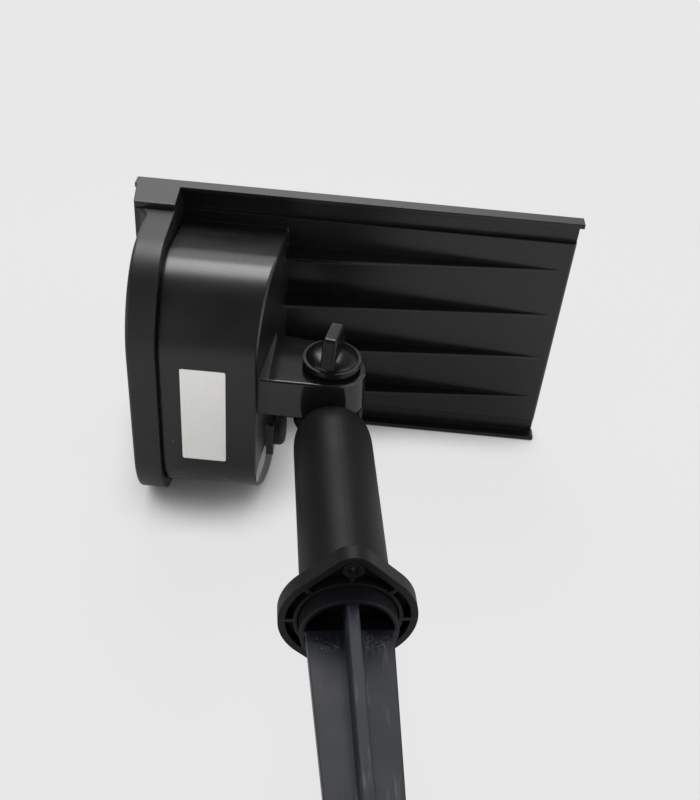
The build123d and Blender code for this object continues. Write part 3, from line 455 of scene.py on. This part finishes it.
def thin_slab(length, width, corner, thick, centre, along, across, out):
    """A rounded rectangle carried up a bevelled edge: point = corner centre + (corner - inset) round the corner,
    for rings at (inset, height), closed by a pole over and under the middle. Millimetres, centre in metres."""
    steps = 48
    turn = np.linspace(0, 2 * np.pi, steps, endpoint=False) + np.pi / steps
    cos, sin = np.cos(turn), np.sin(turn)
    inset, height = np.array(((0, 0), (0, 0.6 * thick), (0.4 * thick, thick), (corner * 0.6, thick))).T
    reach = (corner - inset)[:, None]
    a = np.sign(cos) * (length / 2 - corner) + reach * cos
    b = np.sign(sin) * (width / 2 - corner) + reach * sin
    flat = np.stack((a, b, np.broadcast_to(height[:, None], a.shape)), -1).reshape(-1, 3)
    flat = np.concatenate((flat, ((0, 0, 0), (0, 0, thick))))
    points = centre + flat @ np.array((along, across, out)) * MM
    return points, *ring_faces(len(inset), steps)


# Blank white label on the bowl's underside
label = thin_slab(LABEL_L, LABEL_W, LABEL_CORNER, SLAB_T,
                head_place(LABEL_U, LABEL_V, BOWL_DEPTH), HEAD_SIDE, -HEAD_BACK, -HEAD_UP)
mesh_piece("blank_label", *label, paper, "head", "white_plastic")

# Oval of painted highlight on the bowl's leaning rear wall, under the button: a thin grey sheet where the wall
# catches light
wall_out = HEAD_BACK * math.cos(BACK_LEAN) - HEAD_UP * math.sin(BACK_LEAN)
wall_up = HEAD_UP * math.cos(BACK_LEAN) + HEAD_BACK * math.sin(BACK_LEAN)
wall_u = BOWL_BACK - (OVAL_DROP - KNEE_DROP) * math.tan(BACK_LEAN)
painted_highlight_oval = thin_slab(OVAL_L, OVAL_W, OVAL_W / 2, SLAB_T,
               head_place(wall_u, OVAL_V, OVAL_DROP), wall_up, HEAD_SIDE, wall_out)
mesh_piece("painted_highlight_oval_sheet", *painted_highlight_oval, painted_highlight_film, "head", "white_plastic")


def cross_screw():
    """A pan-head screw about its axis, heights over the head's seat. Head: crown falling with radius squared, less
    a cross of two slots that shallows to nothing at the recess's radius. Shank: radius less a thread ridge that
    climbs one pitch a turn, then a point. Rings run from the crown's middle out, down and along to the tip."""
    steps, crown_rings, thread_rings = 64, 22, 88
    turn = np.linspace(0, 2 * np.pi, steps, endpoint=False)
    r_top = np.linspace(0.06, 1, crown_rings)[:, None] * (SCREW_HEAD_R - CROWN_EDGE)
    arm = np.minimum(np.abs(r_top * np.sin(turn)), np.abs(r_top * np.cos(turn)))
    slots = np.clip((RECESS_HALF - arm) / RECESS_WALL, 0, 1) * np.clip((RECESS_R - r_top) / RECESS_FADE, 0, 1)
    h_top = SCREW_HEAD_H - CROWN_FALL * (r_top / SCREW_HEAD_R) ** 2 - RECESS_DEPTH * slots
    r_side = np.array((SCREW_HEAD_R, SCREW_HEAD_R, SCREW_R))[:, None]
    h_side = np.array((SCREW_HEAD_H - HEAD_SHOULDER, 0.0, 0.0))[:, None]
    h_shank = -np.linspace(THREAD_START, THREAD_END, thread_rings)[:, None]
    r_shank = SCREW_R - THREAD_RISE + THREAD_RISE * np.cos(2 * np.pi * h_shank / THREAD_PITCH - turn)
    h_tip = -np.array(TIP_DROPS)[:, None]
    r_tip = np.array(TIP_RADII)[:, None]
    spread = np.ones(steps)
    radius = np.concatenate((r_top * spread, r_side * spread, r_shank, r_tip * spread))
    height = np.concatenate((h_top, h_side * spread, h_shank * spread, h_tip * spread))
    rings = np.stack((radius * np.cos(turn), radius * np.sin(turn), height), -1)
    poles = ((0, 0, h_top[0, 0]), (0, 0, -SCREW_L))
    quads, fans = ring_faces(len(radius), steps)
    return np.concatenate((rings.reshape(-1, 3), poles)), quads[:, ::-1], fans[:, ::-1]


# Bezel screws with their cross recesses, on the axes of the bezel's holes: two beside the lens, two in the bowl's
# lower corners
corner_v = BOWL_NECK + (BOWL_DEPTH - PLATE_T) * math.tan(FLARE) - BOWL_R / math.tan((math.pi / 2 - FLARE) / 2)
swing = (BOWL_R - SCREW_INSET) * math.sin(math.pi / 4)
top_v = BOWL_NECK + (SCREW_DROP - PLATE_T) * math.tan(FLARE) - SCREW_INSET / math.cos(FLARE)
seat_u = BEZEL_BACK - BEZEL_D + FIT + SCREW_HEAD_H
seats = np.array([
    head_place(seat_u + n * math.tan(FRONT_LEAN), side * v, n) for side in (1, -1)
    for v, n in ((top_v, SCREW_DROP), (corner_v + swing, BOWL_DEPTH - BOWL_R + swing))])
one, quads, fans = cross_screw()
points = seats[:, None] + one @ np.array((HEAD_SIDE, HEAD_UP, -HEAD_BACK)) * MM
first = np.arange(len(seats))[:, None, None] * len(one)
screws = mesh_piece("cross_screws", points.reshape(-1, 3), (first + quads).reshape(-1, 4),
                    (first + fans).reshape(-1, 3), zinc, "head", "plated_steel")
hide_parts("bezel_screws")

# Colour of the table and of what the camera sees beyond it
BACKDROP = "#E8E8E8"

# Stage: the white table that the tray's far lip touches in the photograph, clear of every pose and seen from its
# front only. The camera sees it as a glow with painted shadow, darkened by ambient occlusion where the light lies
# close over it, and further out sees the backdrop through it
TABLE_HALF = 1.2
TABLE_FADE = (0.15, 0.4)
# Reaches in metres and ranges of the ambient occlusion that paints shadow on the table, and how dark that painted
# shadow gets
CONTACT_REACH, CONTACT_RANGE, CONTACT_SHADE = 0.026, (0.05, 0.95), 0.1
COVER_REACH, COVER_RANGE, COVER_SHADE = 0.07, (0.2, 0.6), 0.45
TABLE_SHOWN, TABLE_MIRRORED = 0.93, 0.14
table_out = Vector((1, 0, 0))
table_at = Vector((-0.059, 0, 0.115))
bpy.ops.mesh.primitive_plane_add(size=2 * TABLE_HALF)
table = bpy.context.object
table.name = "table"
table.data.transform(Matrix.Translation(table_at) @ table_out.to_track_quat("Z", "Y").to_matrix().to_4x4())
cloth = bpy.data.materials.new("white_table")
cloth.use_nodes = True
tree = cloth.node_tree
tree.nodes.clear()
place = add(tree, "TexCoord")["Object"]
path = add(tree, "LightPath")
far = add(tree, "VectorMath", (place, table_at), operation="DISTANCE")["Value"]
faded = add(tree, "MapRange", (far, *TABLE_FADE), **SOFT)[0]
faded = add(tree, "Math", (faded, path["Is Camera Ray"]), **TIMES)[0]
gone = add(tree, "Math", (faded, add(tree, "NewGeometry")["Backfacing"]), operation="MAXIMUM")[0]
# Painted shadow: ambient occlusion darkens the table's glow close under the light and where the light covers the
# table
painted_contact_shadow = add(tree, "AmbientOcclusion", {"Distance": CONTACT_REACH}, samples=16)["AO"]
painted_contact_shadow = add(tree, "MapRange", (painted_contact_shadow, *CONTACT_RANGE, CONTACT_SHADE, 1.0), **SOFT)[0]
painted_cover_shadow = add(tree, "AmbientOcclusion", {"Distance": COVER_REACH}, samples=16)["AO"]
painted_cover_shadow = add(tree, "MapRange", (painted_cover_shadow, *COVER_RANGE, COVER_SHADE, 1.0), **SOFT)[0]
painted_shadow = add(tree, "Math", (painted_contact_shadow, painted_cover_shadow), **TIMES)[0]
white = add(tree, "BsdfDiffuse", {"Color": BACKDROP})[0]
painted_shadow_glow = add(tree, "Emission", {"Color": BACKDROP, "Strength": painted_shadow})[0]
seen = add(tree, "Math", (path["Is Camera Ray"], TABLE_SHOWN), **TIMES)[0]
mirrored = add(tree, "Math", (path["Is Glossy Ray"], path["Is Transmission Ray"]), operation="MAXIMUM")[0]
mirrored = add(tree, "Math", (mirrored, TABLE_MIRRORED), **TIMES)[0]
shown = add(tree, "Math", (seen, mirrored), operation="MAXIMUM")[0]
front = add(tree, "MixShader", (shown, white, painted_shadow_glow))[0]
open_air = add(tree, "BsdfTransparent")[0]
mixed = add(tree, "MixShader", (gone, front, open_air))[0]
add(tree, "OutputMaterial", {"Surface": mixed})
table.data.materials.append(cloth)

# Room: pale all round, paler in a band overhead, behind the light and at both sides below, dark towards the
# photographer; the camera sees an even pale grey. Levels of light, where 1 is white, and pairs of a direction's
# part between which a level is reached
ROOM, TOWARDS_LENS, LENS_SPREAD = 0.45, 0.06, (0.2, 0.92)
LENS_WAY = (0.63, -0.10, -0.77)
OVERHEAD, OVERHEAD_RISE = 1.55, (0.81, 0.87)
OVERHEAD_LOSS, OVERHEAD_FALL = 1.0, (0.88, 0.95)
OVERHEAD_AT_SIDES, OVERHEAD_NARROWS = 0.4, (0.1, 0.45)
CARDS, CARDS_DOWN, CARDS_ASIDE = 1.75, (-0.05, -0.5), (0.3, 0.6)
REAR, REAR_SPREAD = 0.7, (0.5, 0.85)
world = bpy.data.worlds.new("studio")
world.use_nodes = True
bpy.context.scene.world = world
tree = world.node_tree
tree.nodes.clear()
way = add(tree, "TexCoord")["Generated"]
_, back, up = add(tree, "SeparateXYZ", (way,))
aside = add(tree, "Math", (back,), operation="ABSOLUTE")[0]
turned = add(tree, "VectorMath", (way, LENS_WAY), operation="DOT_PRODUCT")["Value"]
walls = add(tree, "MapRange", (turned, *LENS_SPREAD, ROOM, TOWARDS_LENS), **SOFT)[0]
rear = add(tree, "MapRange", (back, *REAR_SPREAD, 0.0, REAR), **SOFT)[0]
beside = add(tree, "MapRange", (aside, *CARDS_ASIDE), **SOFT)[0]
cards = add(tree, "MapRange", (up, *CARDS_DOWN, 0.0, CARDS), **SOFT)[0]
cards = add(tree, "Math", (cards, beside), **TIMES)[0]
rise = add(tree, "MapRange", (up, *OVERHEAD_RISE, 0.0, OVERHEAD), **SOFT)[0]
fall = add(tree, "MapRange", (up, *OVERHEAD_FALL, 0.0, OVERHEAD_LOSS), **SOFT)[0]
canopy = add(tree, "Math", (rise, fall), operation="SUBTRACT")[0]
narrowed = add(tree, "MapRange", (aside, *OVERHEAD_NARROWS, 1.0, OVERHEAD_AT_SIDES), **SOFT)[0]
canopy = add(tree, "Math", (canopy, narrowed), **TIMES)[0]
room = walls
for more in (canopy, cards, rear):
    room = add(tree, "Math", (room, more), operation="ADD")[0]
path = add(tree, "LightPath")
shown = add(tree, "Math", (path["Is Camera Ray"], path["Is Transmission Ray"]), operation="MAXIMUM")[0]
light = add(tree, "Background", {"Strength": room, "Color": "#FFFFFF"})[0]
backdrop = add(tree, "Background", {"Color": BACKDROP, "Strength": 1.0})[0]
mixed = add(tree, "MixShader", (shown, light, backdrop))[0]
add(tree, "OutputWorld", {"Surface": mixed})

# Softbox over the table, where the bowl's corner mirrors it; metres and watts
SOFTBOX_SIDE, SOFTBOX_AWAY, SOFTBOX_POWER = 1.2, 2.5, 37
aim = Vector((0, 0, 0.09))
toward = Vector((0.814, -0.03, 0.58)).normalized()
lamp = bpy.data.lights.new("softbox", "AREA")
lamp.shape = "RECTANGLE"
lamp.size, lamp.size_y = SOFTBOX_SIDE, SOFTBOX_SIDE
lamp.energy = SOFTBOX_POWER
softbox = bpy.data.objects.new("softbox", lamp)
bpy.context.scene.collection.objects.link(softbox)
up = toward.cross(Vector((0, 1, 0))).normalized()
turn = Matrix((up.cross(toward), up, toward)).transposed()
softbox.matrix_world = Matrix.Translation(aim + SOFTBOX_AWAY * toward) @ turn.to_4x4()

# Camera fitted to the photograph: place in metres, turn in degrees, lens for a 36 mm long side
view = bpy.data.cameras.new("camera")
view.lens = 44.965
view.sensor_width = 36
view.clip_start = 0.01
camera = bpy.data.objects.new("camera", view)
camera.location = (0.252762, -0.032612, -0.199943)
camera.rotation_euler = [math.radians(a) for a in (140.622, 4.1371, 85.7698)]
bpy.context.scene.collection.objects.link(camera)
bpy.context.scene.camera = camera
bpy.context.scene.view_settings.view_transform = "Standard"

bpy.context.view_layer.update()
